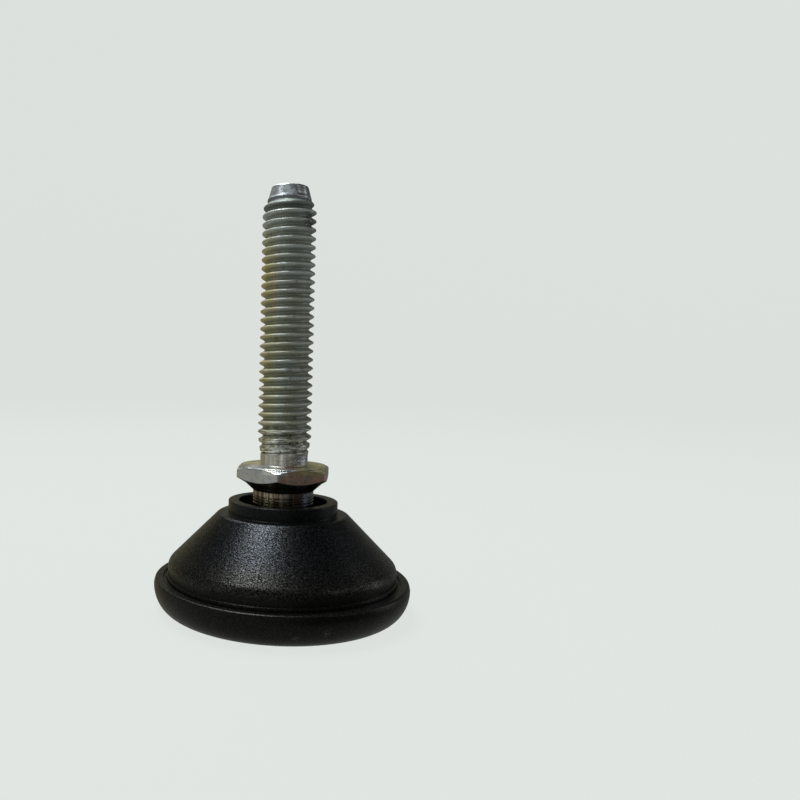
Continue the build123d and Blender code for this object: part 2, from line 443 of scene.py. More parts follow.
def run_out_marks(tree, place, axes, mottle, tint):
    """Streaks on the plain shank, with a painted highlight at the left and painted shade at the right, and
    the scratches, the painted highlight on the flanks and the painted shade in the roots of the last turns
    over it.
    """
    x, y, z, _ = axes
    # The streaks are the shank's own; their light tone at the left is a painted highlight, and both tones
    # turn darker at the right as painted shade
    streak = ramp(tree, cloud(tree, stretched(tree, place, 1.0, 0.02), 900.0, 3.0), 0.44, 0.55)
    bright = blend(tree, fade(tree, x, SHANK_SIDE), SHANK_HIGHLIGHT_LEFT, SHANK_BRIGHT_SHADED_RIGHT)
    dark = blend(tree, fade(tree, x, SHANK_SIDE), SHANK_DARK_LEFT, SHANK_DARK_SHADED_RIGHT)
    tint = blend(tree, product(tree, fade(tree, z, SHANK_TOP), 0.85), tint, blend(tree, streak, dark, bright))

    scratch = cloud(tree, stretched(tree, place, 0.22, 1.0, 0.02), 4200.0, 3.0)
    scratched = zone(tree, z, SCRATCH_ZONE)
    tint = blend(tree, product(tree, scratched, ramp(tree, scratch, 0.48, 0.40), 0.75), tint, SCRATCH_DARK)
    tint = blend(tree, product(tree, scratched, ramp(tree, scratch, 0.53, 0.60), 0.8), tint, SCRATCH_BRIGHT)

    # How far a point is from the nearest crest, along the helix: 0 on a crest and 1 in a root
    turn = calc(tree, "DIVIDE", calc(tree, "ARCTAN2", y, x), 2 * pi)
    climb = calc(tree, "DIVIDE", calc(tree, "SUBTRACT", z, CREST_Z * MM), PITCH * MM)
    waver = calc(tree, "MULTIPLY_ADD", mottle, 0.24, 0.38)
    phase = calc(tree, "FRACT", calc(tree, "ADD", calc(tree, "SUBTRACT", climb, turn), waver))
    off_crest = calc(tree, "ABSOLUTE", calc(tree, "MULTIPLY_ADD", phase, 2.0, -1.0))
    last_turns = zone(tree, z, RUN_OUT_ZONE)
    flank = product(tree, ramp(tree, off_crest, 0.50, 0.62), ramp(tree, off_crest, 0.84, 0.76), last_turns)
    # A painted highlight in patches on the flanks of the last turns
    flank_shine = product(tree, flank, fade(tree, z, SHINE_TOP), ramp(tree, mottle, 0.40, 0.52), 0.8)
    tint = blend(tree, flank_shine, tint, FLANK_SHINE)
    # Painted shade along the roots of the last turns
    root_shade_line = product(tree, ramp(tree, off_crest, 0.84, 0.92), last_turns, 0.92)
    return blend(tree, root_shade_line, tint, ROOT_SHADE_LINE)


def tip_marks(tree, place, axes, tint):
    """Painted shade over the first turn and in the groove under the tip, and the tip with a painted
    highlight, its dark marks and painted shade at its right.
    """
    x, _, z, _ = axes
    # Painted shade over the first turn and in the groove under the tip
    tint = blend(tree, product(tree, zone(tree, z, FIRST_TURN_ZONE), 0.8), tint, FIRST_TURN_SHADE)
    tint = blend(tree, product(tree, zone(tree, z, TIP_GROOVE_ZONE), 0.75), tint, TIP_GROOVE_SHADE)
    tip = fade(tree, z, TIP_FOOT)
    mark = ramp(tree, cloud(tree, stretched(tree, place, 1.0, 0.6), 1700.0, 2.0), 0.50, 0.56, 0.0, 0.85)
    mark = product(tree, mark, fade(tree, x, TIP_MARK_LEFT), fade(tree, x, TIP_MARK_RIGHT, 0.3, 1.0))
    # The tip is painted with a bright highlight, broken by its own dark marks
    tint = blend(tree, tip, tint, blend(tree, mark, TIP_HIGHLIGHT, TIP_MARK))
    shaded = product(tree, tip, fade(tree, x, TIP_SHADED_SIDE), 0.85)
    return blend(tree, shaded, tint, TIP_SHADE)


def thread_plate():
    """Dull zinc on the rolled stud."""
    new, tree, shader, place = material("zinc_plate_thread")
    shader.inputs["Metallic"].default_value = 1.0
    axes = axes_of(tree, place)
    x, _, z, _ = axes
    mottle = cloud(tree, place, 2600.0, 3.0)
    grain = cloud(tree, place, 8000.0, 2.0)
    tint = aged_zinc(tree, place, axes, mottle, grain)
    tint = run_out_marks(tree, place, axes, mottle, tint)
    link_value(tree, shader.inputs["Base Color"], tip_marks(tree, place, axes, tint))

    bright = calc(tree, "MAXIMUM", fade(tree, z, BRIGHT_FOOT), fade(tree, z, TIP_FOOT))
    rough = ramp(tree, mottle, 0.3, 0.7, 0.50, 0.62, soft=False)
    rough = calc(tree, "ADD", rough, fade(tree, x, DULL_SIDE, 0.0, 0.07))
    rough = calc(tree, "SUBTRACT", rough, product(tree, bright, 0.27))
    link_value(tree, shader.inputs["Roughness"], rough)

    dull = calc(tree, "SUBTRACT", 1.0, product(tree, bright, 0.85))
    relief = bump(tree, product(tree, grain, dull), 0.02, 0.8)
    relief = bump(tree, product(tree, mottle, dull), 0.03, 0.5, relief)
    crinkle = cloud(tree, stretched(tree, place, 0.5, 1.0), 3600.0, 3.0)
    relief = bump(tree, product(tree, crinkle, zone(tree, z, CRINKLE_ZONE)), 0.10, 1.0, relief)
    streak = cloud(tree, stretched(tree, place, 1.0, 0.03), 1900.0, 2.0)
    relief = bump(tree, product(tree, streak, fade(tree, z, STREAK_TOP)), 0.16, 1.0, relief)
    link_value(tree, shader.inputs["Normal"], relief)
    return new


def node_tree(name, **sizes):
    """A geometry node tree with these named inputs, and its group input node's sockets."""
    new = bpy.data.node_groups.new(name, "GeometryNodeTree")
    for key, value in sizes.items():
        kind = "NodeSocketInt" if isinstance(value, int) else "NodeSocketFloat"
        new.interface.new_socket(key, in_out="INPUT", socket_type=kind)
    new.interface.new_socket("Surface", in_out="INPUT", socket_type="NodeSocketMaterial")
    new.interface.new_socket("Mesh", in_out="OUTPUT", socket_type="NodeSocketGeometry")
    return new, new.nodes.new("NodeGroupInput").outputs


def finish_tree(new, mesh, surface):
    """Ends a tree with real instances and a material."""
    real = new.nodes.new("GeometryNodeRealizeInstances")
    new.links.new(mesh, real.inputs[0])
    dressed = new.nodes.new("GeometryNodeSetMaterial")
    new.links.new(real.outputs[0], dressed.inputs["Geometry"])
    new.links.new(surface, dressed.inputs["Material"])
    out = new.nodes.new("NodeGroupOutput")
    new.links.new(dressed.outputs[0], out.inputs[0])


def turn_outward(piece):
    """Turns every face of a closed piece outward."""
    shell = bmesh.new()
    shell.from_mesh(piece.data)
    bmesh.ops.recalc_face_normals(shell, faces=shell.faces)
    shell.to_mesh(piece.data)
    shell.free()


def grown_piece(name, new, surface, **sizes):
    """The mesh that a tree makes from these sizes, as a piece with no modifier."""
    seed = bpy.data.meshes.new(name + "_seed")
    piece = bpy.data.objects.new(name, seed)
    scene.collection.objects.link(piece)
    growth = piece.modifiers.new("growth", "NODES")
    growth.node_group = new
    for socket in new.interface.items_tree:
        if socket.in_out == "INPUT":
            growth[socket.identifier] = surface if socket.name == "Surface" else sizes[socket.name]
    depsgraph = bpy.context.evaluated_depsgraph_get()
    mesh = bpy.data.meshes.new_from_object(piece.evaluated_get(depsgraph))
    mesh.name = name
    piece.modifiers.remove(growth)
    piece.data = mesh
    bpy.data.meshes.remove(seed)
    mesh.polygons.foreach_set("use_smooth", [True] * len(mesh.polygons))
    turn_outward(piece)
    return piece


def placed(tree, x, y, z):
    """A vector from three numbers or sockets."""
    node = tree.nodes.new("ShaderNodeCombineXYZ")
    for socket, value in zip(node.inputs, (x, y, z)):
        link_value(tree, socket, value)
    return node.outputs[0]


def mesh_axes(tree):
    """The parts of each mesh point's place."""
    node = tree.nodes.new("ShaderNodeSeparateXYZ")
    tree.links.new(tree.nodes.new("GeometryNodeInputPosition").outputs[0], node.inputs[0])
    return node.outputs


def moved_points(tree, mesh, place):
    """The mesh with its points at new places."""
    node = tree.nodes.new("GeometryNodeSetPosition")
    tree.links.new(mesh, node.inputs["Geometry"])
    tree.links.new(place, node.inputs["Position"])
    return node.outputs[0]


def quarter_round(tree, across, radius):
    """How far a quarter circle has fallen at this distance across it."""
    square = calc(tree, "SUBTRACT", product(tree, radius, radius), product(tree, across, across))
    return calc(tree, "SUBTRACT", radius, calc(tree, "SQRT", square))


stud_sizes = {
    "Columns": 112,
    "Rows": 651,
    "Foot": STUD_FOOT_Z * MM,
    "Top": STUD_TOP_Z * MM,
    "Pitch": PITCH * MM,
    "Crest": CREST_Z * MM,
    "Crest Radius": THREAD_R * MM,
    "Root Radius": ROOT_R * MM,
    "Shank Radius": SHANK_R * MM,
    "Nicks": NICK_DEPTH * MM,
}
stud_tree, given = node_tree("rolled_thread", **stud_sizes)
bar = stud_tree.nodes.new("GeometryNodeMeshCylinder")
bar.fill_type = "TRIANGLE_FAN"
link_value(stud_tree, bar.inputs["Vertices"], given["Columns"])
link_value(stud_tree, bar.inputs["Side Segments"], given["Rows"])
bar.inputs["Radius"].default_value = 1.0
bar.inputs["Depth"].default_value = 1.0
bar_x, bar_y, bar_z = mesh_axes(stud_tree)
stud_span = calc(stud_tree, "SUBTRACT", given["Top"], given["Foot"])
stud_z = calc(stud_tree, "MULTIPLY_ADD", calc(stud_tree, "ADD", bar_z, 0.5), stud_span, given["Foot"])

# The tooth is full on a crest and gone in a root
turns = calc(stud_tree, "DIVIDE", calc(stud_tree, "ARCTAN2", bar_y, bar_x), 2 * pi)
climb = calc(stud_tree, "DIVIDE", calc(stud_tree, "SUBTRACT", stud_z, given["Crest"]), given["Pitch"])
phase = calc(stud_tree, "FRACT", calc(stud_tree, "ADD", calc(stud_tree, "SUBTRACT", climb, turns), 0.5))
from_crest = calc(stud_tree, "ABSOLUTE", calc(stud_tree, "MULTIPLY_ADD", phase, 2.0, -1.0))
tooth = ramp(stud_tree, from_crest, 0.06, 0.98, 1.0, 0.0)

# The thread runs out into the shank below, and into the tapered tip above
root_run_out = fade(stud_tree, stud_z, ROOT_RUN_OUT, soft=False)
root_lift = calc(stud_tree, "SUBTRACT", given["Shank Radius"], given["Root Radius"])
root_r = calc(stud_tree, "MULTIPLY_ADD", root_run_out, root_lift, given["Root Radius"])
tip_drop = fade(stud_tree, stud_z, (PILOT_Z, STUD_TOP_Z), 0.0, (PILOT_R - TIP_R) * MM, soft=False)
groove_drop = fade(stud_tree, stud_z, GROOVE_EDGE, 0.0, (ROOT_R - PILOT_R) * MM)
root_r = calc(stud_tree, "SUBTRACT", root_r, calc(stud_tree, "ADD", tip_drop, groove_drop))
crest_run_out = fade(stud_tree, stud_z, CREST_RUN_OUT, soft=False)
crest_drop = calc(stud_tree, "SUBTRACT", given["Crest Radius"], given["Shank Radius"])
crest_r = calc(stud_tree, "SUBTRACT", given["Crest Radius"], product(stud_tree, crest_run_out, crest_drop))
lead_in = fade(stud_tree, stud_z, LEAD_IN)
tooth_h = calc(stud_tree, "SUBTRACT", given["Crest Radius"], root_r)
tooth_h = calc(stud_tree, "MULTIPLY", tooth_h, calc(stud_tree, "SUBTRACT", 1.0, lead_in))

# Small nicks in the crests, from noise on the plain bar, whose height is brought near its radius in scale
nick_place = placed(stud_tree, bar_x, bar_y, calc(stud_tree, "MULTIPLY", stud_z, 900.0))
nick = calc(stud_tree, "SUBTRACT", cloud(stud_tree, nick_place, 3.2, 3.0), 0.72)
nick = calc(stud_tree, "MULTIPLY", nick, given["Nicks"])
stud_r = calc(stud_tree, "MULTIPLY_ADD", tooth, calc(stud_tree, "ADD", tooth_h, nick), root_r)
stud_r = calc(stud_tree, "MINIMUM", stud_r, calc(stud_tree, "ADD", crest_r, nick))

# The tip's edge is rounded
tip_edge = (STUD_TOP_Z - TIP_ROUND, STUD_TOP_Z)
into_round = fade(stud_tree, stud_z, tip_edge, 0.0, TIP_ROUND * MM, soft=False)
stud_r = calc(stud_tree, "SUBTRACT", stud_r, quarter_round(stud_tree, into_round, TIP_ROUND * MM))
stud_x = calc(stud_tree, "MULTIPLY", bar_x, stud_r)
stud_y = calc(stud_tree, "MULTIPLY", bar_y, stud_r)
stud_mesh = moved_points(stud_tree, bar.outputs["Mesh"], placed(stud_tree, stud_x, stud_y, stud_z))
finish_tree(stud_tree, stud_mesh, given["Surface"])
stud = grown_piece("stud", stud_tree, thread_plate(), **stud_sizes)
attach(stud, "spindle")
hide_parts("spindle")


# Hexagon, neck and ball
# The same bar below the stud: six flats with turned chamfers, a neck with three fine turning lines, and the
# ball that the base's socket holds. The zinc is brighter here, stained brown and darkened with painted shade
# at the hexagon's right, with painted shade under it and a painted highlight on the front of the top chamfer.
# A painted warm reflection at the left and painted shade at the right run across the neck, and the lathe's
# circles show on the chamfer.
HEX_ACROSS_FLATS = 12.75
HEX_TOP_Z = 21.08
HEX_TOP_FACE_R = 6.22
HEX_TOP_ROUND = 0.12
HEX_CORNER_TURN = radians(-97.0)
HEX_CORNER_ROUND = 0.40
HEX_UNDER_EDGE_R = 5.75
HEX_UNDER_EDGE_Z = 18.56
HEX_UNDER_ROUND = 0.15
CHAMFER_RISE = tan(radians(30))
CHAMFER_ROUND = 0.07
STUB_R = SHANK_R - 0.02
STUB_H = 0.55
STUB_ROUND = 0.02
SHANK_ROOT_ROUND = 0.40
NECK_R = 4.45
NECK_TOP_Z = 17.4
NECK_FOOT_Z = 12.75
NECK_ROUND = 0.2
NECK_LINE_DEPTH = 0.13
NECK_LINE_W = 0.22
NECK_LINE_ROUND = 0.03
NECK_LINES_Z = (16.6, 16.15, 15.7)
THROAT_R = 3.6
THROAT_ROUND = 0.1
BALL_Z = 7.3
BALL_R = 5.0
BALL_FLAT_R = 1.2
BALL_STEPS = 24

# Columns of points stand close together on each rounded corner and wider on the flats, at angles in degrees
CORNER_HALF = 0.9
CORNER_STEPS = 4
FLAT_START = 1.3
FLAT_HALF = 30.0
FLAT_STEPS = 14

TURNED_ZINC = (0.60, 0.615, 0.61)
WARM_TURNED_ZINC = (0.56, 0.555, 0.50)
BLOTCHED_ZINC = (0.45, 0.48, 0.51)
RED_STAIN_AND_SHADE = (0.60, 0.38, 0.28)
BROWN_STAIN_AND_SHADE = (0.40, 0.33, 0.27)
CHAMFER_AMBER = (0.55, 0.50, 0.27)
CHAMFER_HIGHLIGHT = (0.90, 0.91, 0.87)
TURNING_LINE = (0.13, 0.14, 0.14)
UNDER_SHADE = (0.10, 0.105, 0.085)
NECK_WARM_REFLECTION = (0.48, 0.44, 0.32)
NECK_SHADE = (0.15, 0.18, 0.22)
NECK_STREAK = (0.13, 0.09, 0.065)

# Soft edges of the looks, in millimetres
HEXAGON_FOOT = (17.35, 17.5)
UNDER_EDGE = (0.10, 0.02)
FLATS_EDGE = (-0.04, -0.12)
CHAMFER_EDGE = (-0.10, -0.05)
CHAMFER_FOOT = (20.2, 20.5)
TOP_FACE_FOOT = (20.98, 21.03)
STAIN_AND_SHADE_ZONE = ((-0.9, -0.3), (6.0, 6.6))
AMBER_BACK = (-3.5, 1.0)
AMBER_RIGHT = (1.2, 2.6)
FRONT_ZONE = ((-3.4, -2.4), (0.3, 0.9))
FRONT_SIDE = (-3.6, -4.4)
TURNING_PITCH = 0.42
NECK_SIDE = (-1.0, 2.2)


def body_plate():
    """Bright zinc on the turned hexagon and neck."""
    new, tree, shader, place = material("zinc_plate_body")
    shader.inputs["Metallic"].default_value = 1.0
    x, y, z, r = axes_of(tree, place)
    patches = cloud(tree, place, 420.0, 4.0)
    mottle = cloud(tree, place, 2600.0, 3.0)
    blotch = cloud(tree, place, 1200.0, 3.0)
    grain = cloud(tree, place, 9000.0, 2.0)
    streak = cloud(tree, stretched(tree, place, 1.0, 0.06), 1700.0, 4.0, 0.6)
    ring = cloud(tree, stretched(tree, place, 0.03, 1.0), 5000.0, 3.0)
    circle = tree.nodes.new("ShaderNodeTexNoise")
    circle.noise_dimensions = "1D"
    circle.inputs["Scale"].default_value = 4200.0
    circle.inputs["Detail"].default_value = 1.0
    tree.links.new(r, circle.inputs["W"])

    # Heights over the cones of the lower and the upper chamfer
    lower_level = (HEX_UNDER_EDGE_Z - HEX_UNDER_EDGE_R * CHAMFER_RISE) * MM
    over_lower = calc(tree, "SUBTRACT", z, calc(tree, "MULTIPLY_ADD", r, CHAMFER_RISE, lower_level))
    upper_level = (HEX_TOP_Z + HEX_TOP_FACE_R * CHAMFER_RISE) * MM
    over_upper = calc(tree, "SUBTRACT", calc(tree, "MULTIPLY_ADD", r, CHAMFER_RISE, z), upper_level)
    hexagon = fade(tree, z, HEXAGON_FOOT)
    neck = calc(tree, "SUBTRACT", 1.0, hexagon)
    under = product(tree, fade(tree, over_lower, UNDER_EDGE), hexagon)
    flats = fade(tree, over_upper, FLATS_EDGE)
    turned = fade(tree, over_upper, CHAMFER_EDGE)
    top = fade(tree, z, CHAMFER_FOOT)
    top_face = fade(tree, z, TOP_FACE_FOOT)
    front = product(tree, zone(tree, x, FRONT_ZONE), fade(tree, y, FRONT_SIDE))

    tint = blend(tree, ramp(tree, patches, 0.38, 0.66), TURNED_ZINC, WARM_TURNED_ZINC)
    tint = blend(tree, ramp(tree, blotch, 0.46, 0.60, 0.0, 0.9), tint, BLOTCHED_ZINC)
    # A brown stain on the hexagon's right flats, darkened there as painted shade
    stain_and_shade = product(tree, zone(tree, x, STAIN_AND_SHADE_ZONE), hexagon, flats, 0.9)
    tint = blend(tree, stain_and_shade, tint, blend(tree, ramp(tree, blotch, 0.42, 0.58), RED_STAIN_AND_SHADE, BROWN_STAIN_AND_SHADE))
    amber_side = calc(tree, "MAXIMUM", fade(tree, y, AMBER_BACK), fade(tree, x, AMBER_RIGHT))
    tint = blend(tree, product(tree, top, amber_side, 0.85), tint, CHAMFER_AMBER)
    # A painted highlight on the front of the top chamfer and top face
    tint = blend(tree, product(tree, front, top, 0.8), tint, CHAMFER_HIGHLIGHT)
    circles = calc(tree, "SINE", calc(tree, "MULTIPLY", r, 2 * pi / (TURNING_PITCH * MM)))
    lined = calc(tree, "MAXIMUM", turned, top_face)
    turning_lines = product(tree, ramp(tree, circles, 0.1, 0.8), front, lined, 0.8)
    tint = blend(tree, turning_lines, tint, TURNING_LINE)
    # Painted shade on the hexagon's lower chamfer and underside
    tint = blend(tree, under, tint, UNDER_SHADE)
    # Across the neck, a painted warm reflection at the left turns into painted shade at the right
    neck_tint = blend(tree, fade(tree, x, NECK_SIDE), NECK_WARM_REFLECTION, NECK_SHADE)
    neck_tint = blend(tree, ramp(tree, streak, 0.44, 0.60), NECK_STREAK, neck_tint)
    link_value(tree, shader.inputs["Base Color"], blend(tree, neck, tint, neck_tint))

    rough = ramp(tree, mottle, 0.3, 0.7, 0.26, 0.42, soft=False)
    rough = calc(tree, "ADD", rough, ramp(tree, patches, 0.35, 0.7, -0.04, 0.08))
    rough = calc(tree, "SUBTRACT", rough, product(tree, neck, 0.14))
    rough = calc(tree, "SUBTRACT", rough, product(tree, front, top, 0.12))
    link_value(tree, shader.inputs["Roughness"], rough)

    relief = bump(tree, grain, 0.010, 0.7)
    relief = bump(tree, mottle, 0.035, 0.6, relief)
    relief = bump(tree, product(tree, ring, neck), 0.012, 0.8, relief)
    relief = bump(tree, product(tree, circle.outputs["Fac"], turned), 0.2, 1.0, relief)
    relief = bump(tree, product(tree, streak, neck), 0.10, 0.8, relief)
    link_value(tree, shader.inputs["Normal"], relief)
    return new


def rounded(corners, steps=5, margin=0.12):
    """An outline through (r, z, radius) corners, each rounded, with an extra point on either side of it."""
    outline = [corners[0][:2]]
    for before, corner, after in zip(corners, corners[1:], corners[2:]):
        middle = Vector(corner[:2])
        back = Vector(before[:2]) - middle
        ahead = Vector(after[:2]) - middle
        room = 0.45 * min(back.length, ahead.length)
        back.normalize()
        ahead.normalize()
        half = back.angle(ahead) / 2
        cut = min(corner[2] / tan(half), room)
        radius = cut * tan(half)
        centre = middle + (back + ahead).normalized() * (radius / sin(half))
        start = middle + back * cut
        end = middle + ahead * cut
        ease = min(margin, room - cut)
        if ease > 0.01:
            outline.append(tuple(start + back * ease))
        spread = pi - 2 * half
        arm = start - centre
        turn_way = 1.0 if arm.x * (end - centre).y - arm.y * (end - centre).x > 0 else -1.0
        for step in range(steps + 1):
            turn = turn_way * spread * step / steps
            outline.append((
                centre.x + arm.x * cos(turn) - arm.y * sin(turn),
                centre.y + arm.x * sin(turn) + arm.y * cos(turn),
            ))
        if ease > 0.01:
            outline.append(tuple(end + ahead * ease))
    outline.append(corners[-1][:2])
    return outline


def arc(middle, radii, start, end, steps):
    """Points on an elliptical arc in (r, z), from start to end in equal turns, without its first point."""
    points = []
    for step in range(1, steps + 1):
        turn = start + (end - start) * step / steps
        points.append((middle[0] + radii[0] * cos(turn), middle[1] + radii[1] * sin(turn)))
    return points


def hexagon_r(turn):
    """The hexagon's radius in this direction, with its corners slightly rounded."""
    off = (turn - HEX_CORNER_TURN + radians(30)) % radians(60) - radians(30)
    flat_r = HEX_ACROSS_FLATS / 2
    centre_r = (flat_r - HEX_CORNER_ROUND) / cos(radians(30))
    tangent = atan2(HEX_CORNER_ROUND * 0.5, centre_r + HEX_CORNER_ROUND * cos(radians(30)))
    if abs(off) < tangent:
        return centre_r * cos(off) + sqrt(HEX_CORNER_ROUND**2 - (centre_r * sin(off)) ** 2)
    return flat_r / cos(radians(30) - abs(off))


hex_offsets = [step / CORNER_STEPS * CORNER_HALF for step in range(-CORNER_STEPS, CORNER_STEPS + 1)]
for step in range(FLAT_STEPS):
    offset = FLAT_START + (FLAT_HALF - FLAT_START) * (step / FLAT_STEPS)
    hex_offsets += [-offset, offset]
hex_offsets.append(FLAT_HALF)
hex_offsets.sort()

neck_corners = [(HEX_UNDER_EDGE_R, HEX_UNDER_EDGE_Z, HEX_UNDER_ROUND), (NECK_R, NECK_TOP_Z, NECK_ROUND)]
for z in NECK_LINES_Z:
    neck_corners += [
        (NECK_R, z + NECK_LINE_W / 2, NECK_LINE_ROUND),
        (NECK_R - NECK_LINE_DEPTH, z, NECK_LINE_ROUND),
        (NECK_R, z - NECK_LINE_W / 2, NECK_LINE_ROUND),
    ]
neck_corners += [
    (NECK_R, NECK_FOOT_Z, NECK_ROUND),
    (THROAT_R, NECK_FOOT_Z - (NECK_R - THROAT_R), NECK_ROUND),
    (THROAT_R, BALL_Z + sqrt(BALL_R**2 - THROAT_R**2), THROAT_ROUND),
]
ball_start = atan2(sqrt(BALL_R**2 - THROAT_R**2), THROAT_R)
ball_end = -atan2(sqrt(BALL_R**2 - BALL_FLAT_R**2), BALL_FLAT_R)
ball_outline = arc((0.0, BALL_Z), (BALL_R, BALL_R), ball_start, ball_end, BALL_STEPS)
ball_outline.append((0.0, BALL_Z + BALL_R * sin(ball_end)))

spindle_columns = []
for corner in range(6):
    for offset in hex_offsets:
        turn = HEX_CORNER_TURN + radians(60 * corner + offset)
        side_r = hexagon_r(turn)
        hexagon_corners = [
            (0.0, HEX_TOP_Z + STUB_H, 0.0),
            (STUB_R, HEX_TOP_Z + STUB_H, STUB_ROUND),
            (STUB_R, HEX_TOP_Z, SHANK_ROOT_ROUND),
            (HEX_TOP_FACE_R, HEX_TOP_Z, HEX_TOP_ROUND),
            (side_r, HEX_TOP_Z - (side_r - HEX_TOP_FACE_R) * CHAMFER_RISE, CHAMFER_ROUND),
            (side_r, HEX_UNDER_EDGE_Z + (side_r - HEX_UNDER_EDGE_R) * CHAMFER_RISE, CHAMFER_ROUND),
        ]
        spindle_columns.append((turn, rounded(hexagon_corners + neck_corners) + ball_outline))
spindle_body = turned_piece("hexagon_and_ball", spindle_columns)
turn_outward(spindle_body)
spindle_body.data.materials.append(body_plate())
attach(spindle_body, "spindle")
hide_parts("spindle")


# Base
# One moulding of black nylon: a collar round the bore, a cone with a wall 2 mm thick, a thick rim on a
# narrow land, and inside them the hub with the snap-in socket for the ball. Its mould was spark-eroded,
# which gives a fine matt grain that sparkles a little. Two faint rub marks show on the rim at the front.
BASE_R = 18.7
COLLAR_R = 8.03
COLLAR_TOP_Z = 15.85
BORE_R = 6.48
LEDGE_Z = 14.0
LEDGE_R = 9.5
BAND_R = 16.72
BAND_TOP_Z = 6.75
BAND_FOOT_Z = 4.95
BAND_BEAD = 0.12
GROOVE_IN_R = 16.9
GROOVE_OUT_R = 17.35
GROOVE_FLOOR_Z = 4.4
RIM_TOP_Z = 4.65
RIM_EDGE_R = 18.5
PARTING_Z = 3.85
RIM_SIDE_Z = 2.6
RIM_IN_R = 13.9
LAND_IN_R = 15.1
LAND_OUT_R = 15.7
LIP_R = 4.7
LIP_TOP_Z = 10.0
FLARE_TOP_Z = 12.4
POCKET_OUT_R = 14.4
ROOF_Z = 12.0
HUB_FOOT_Z = 0.95
HUB_FOOT_R = 6.3
HUB_NOSE_R = 2.2
HUB_ROOT_R = 7.3
WALL = 2.0
SOCKET_R = 5.05
SOCKET_STEPS = 24
RIM_OUT_STEPS = 16
RIM_IN_STEPS = 12
POCKET_STEPS = 8
BASE_SIDES = 288

BLACK = (0.0018, 0.0020, 0.0018)
GREYED_BLACK = (0.0030, 0.0032, 0.0029)
SPECK = (0.022, 0.023, 0.021)
RUB_MARK = (0.12, 0.12, 0.115)
WARM_HIGHLIGHT_TINT = (1.0, 0.98, 0.86)
COOL_HIGHLIGHT_TINT = (0.84, 0.91, 1.0)
RUB_MARKS = [(5.8, -17.5, 2.3), (2.0, -18.1, 1.8)]
RUB_MARK_EDGE = (0.65, 0.1)
CONE_ZONE = ((5.6, 6.8), (13.6, 14.2))
COOL_HIGHLIGHT_FOOT = (7.5, 10.5)


def spark_plastic():
    """Black spark-textured plastic, whose cone sparkles more than its rim and collar."""
    new, tree, shader, place = material("black_nylon")
    z = axes_of(tree, place)[2]
    patches = cloud(tree, place, 260.0, 3.0)
    grain = cloud(tree, place, 3800.0, 2.0, 0.6)
    speck = cloud(tree, place, 6200.0, 1.0)
    tint = blend(tree, ramp(tree, patches, 0.35, 0.7), BLACK, GREYED_BLACK)
    tint = blend(tree, ramp(tree, speck, 0.62, 0.72, 0.0, 0.8), tint, SPECK)
    for spot in RUB_MARKS:
        apart = tree.nodes.new("ShaderNodeVectorMath")
        apart.operation = "DISTANCE"
        apart.inputs[1].default_value = [part * MM for part in spot]
        tree.links.new(place, apart.inputs[0])
        rub = fade(tree, apart.outputs["Value"], RUB_MARK_EDGE)
        tint = blend(tree, product(tree, rub, ramp(tree, grain, 0.42, 0.56), 0.5), tint, RUB_MARK)
    link_value(tree, shader.inputs["Base Color"], tint)

    rough = ramp(tree, grain, 0.35, 0.65, 0.25, 0.37, soft=False)
    link_value(tree, shader.inputs["Roughness"], rough)
    cone = zone(tree, z, CONE_ZONE)
    least = ramp(tree, cone, 0.0, 1.0, 0.17, 0.07)
    most = ramp(tree, cone, 0.0, 1.0, 0.32, 0.86)
    sparkle = ramp(tree, speck, 0.42, 0.68, least, most, soft=False)
    link_value(tree, shader.inputs["Specular IOR Level"], sparkle)
    # The highlights are painted warm low on the base and cool higher up
    highlight_tint = blend(tree, fade(tree, z, COOL_HIGHLIGHT_FOOT), WARM_HIGHLIGHT_TINT, COOL_HIGHLIGHT_TINT)
    link_value(tree, shader.inputs["Specular Tint"], highlight_tint)

    relief = bump(tree, grain, 0.03, 0.8)
    relief = bump(tree, speck, 0.025, 0.8, relief)
    link_value(tree, shader.inputs["Normal"], relief)
    return new


# The pocket's roof runs under the cone at the wall's thickness
cone_slope = (LEDGE_Z - BAND_TOP_Z) / (BAND_R - LEDGE_R)
roof_r = LEDGE_R + (LEDGE_Z - ROOF_Z - WALL * sqrt(1 + cone_slope**2)) / cone_slope
pocket_side_z = ROOF_Z - (POCKET_OUT_R - roof_r) * cone_slope

# From the socket's floor out over the lip, the collar and the cone to the rim, and back under it to the hub
socket_end = atan2(sqrt(SOCKET_R**2 - LIP_R**2), LIP_R)
socket = arc((0.0, BALL_Z), (SOCKET_R, SOCKET_R), radians(-90), socket_end, SOCKET_STEPS)
base_outline = [(0.0, BALL_Z - SOCKET_R)] + socket[:-1]
base_outline += rounded([
    (*socket[-1], 0.0),
    (LIP_R, LIP_TOP_Z, 0.15),
    (BORE_R, FLARE_TOP_Z, 0.2),
    (BORE_R, COLLAR_TOP_Z, 0.15),
    (COLLAR_R, COLLAR_TOP_Z, 0.15),
    (COLLAR_R, LEDGE_Z, 0.08),
    (LEDGE_R, LEDGE_Z, 0.8),
    (BAND_R, BAND_TOP_Z, 1.6),
    (BAND_R, BAND_FOOT_Z + BAND_BEAD, 0.06),
    (BAND_R + BAND_BEAD, BAND_FOOT_Z, 0.04),
    (GROOVE_IN_R, GROOVE_FLOOR_Z, 0.08),
    (GROOVE_OUT_R, GROOVE_FLOOR_Z, 0.08),
    (GROOVE_OUT_R, RIM_TOP_Z, 0.07),
    (RIM_EDGE_R, RIM_TOP_Z, 0.35),
    (BASE_R, PARTING_Z, 0.0),
])
rim_out_radii = (BASE_R - LAND_OUT_R, PARTING_Z)
base_outline += arc((LAND_OUT_R, PARTING_Z), rim_out_radii, 0.0, radians(-90), RIM_OUT_STEPS)
base_outline.append((LAND_IN_R, 0.0))
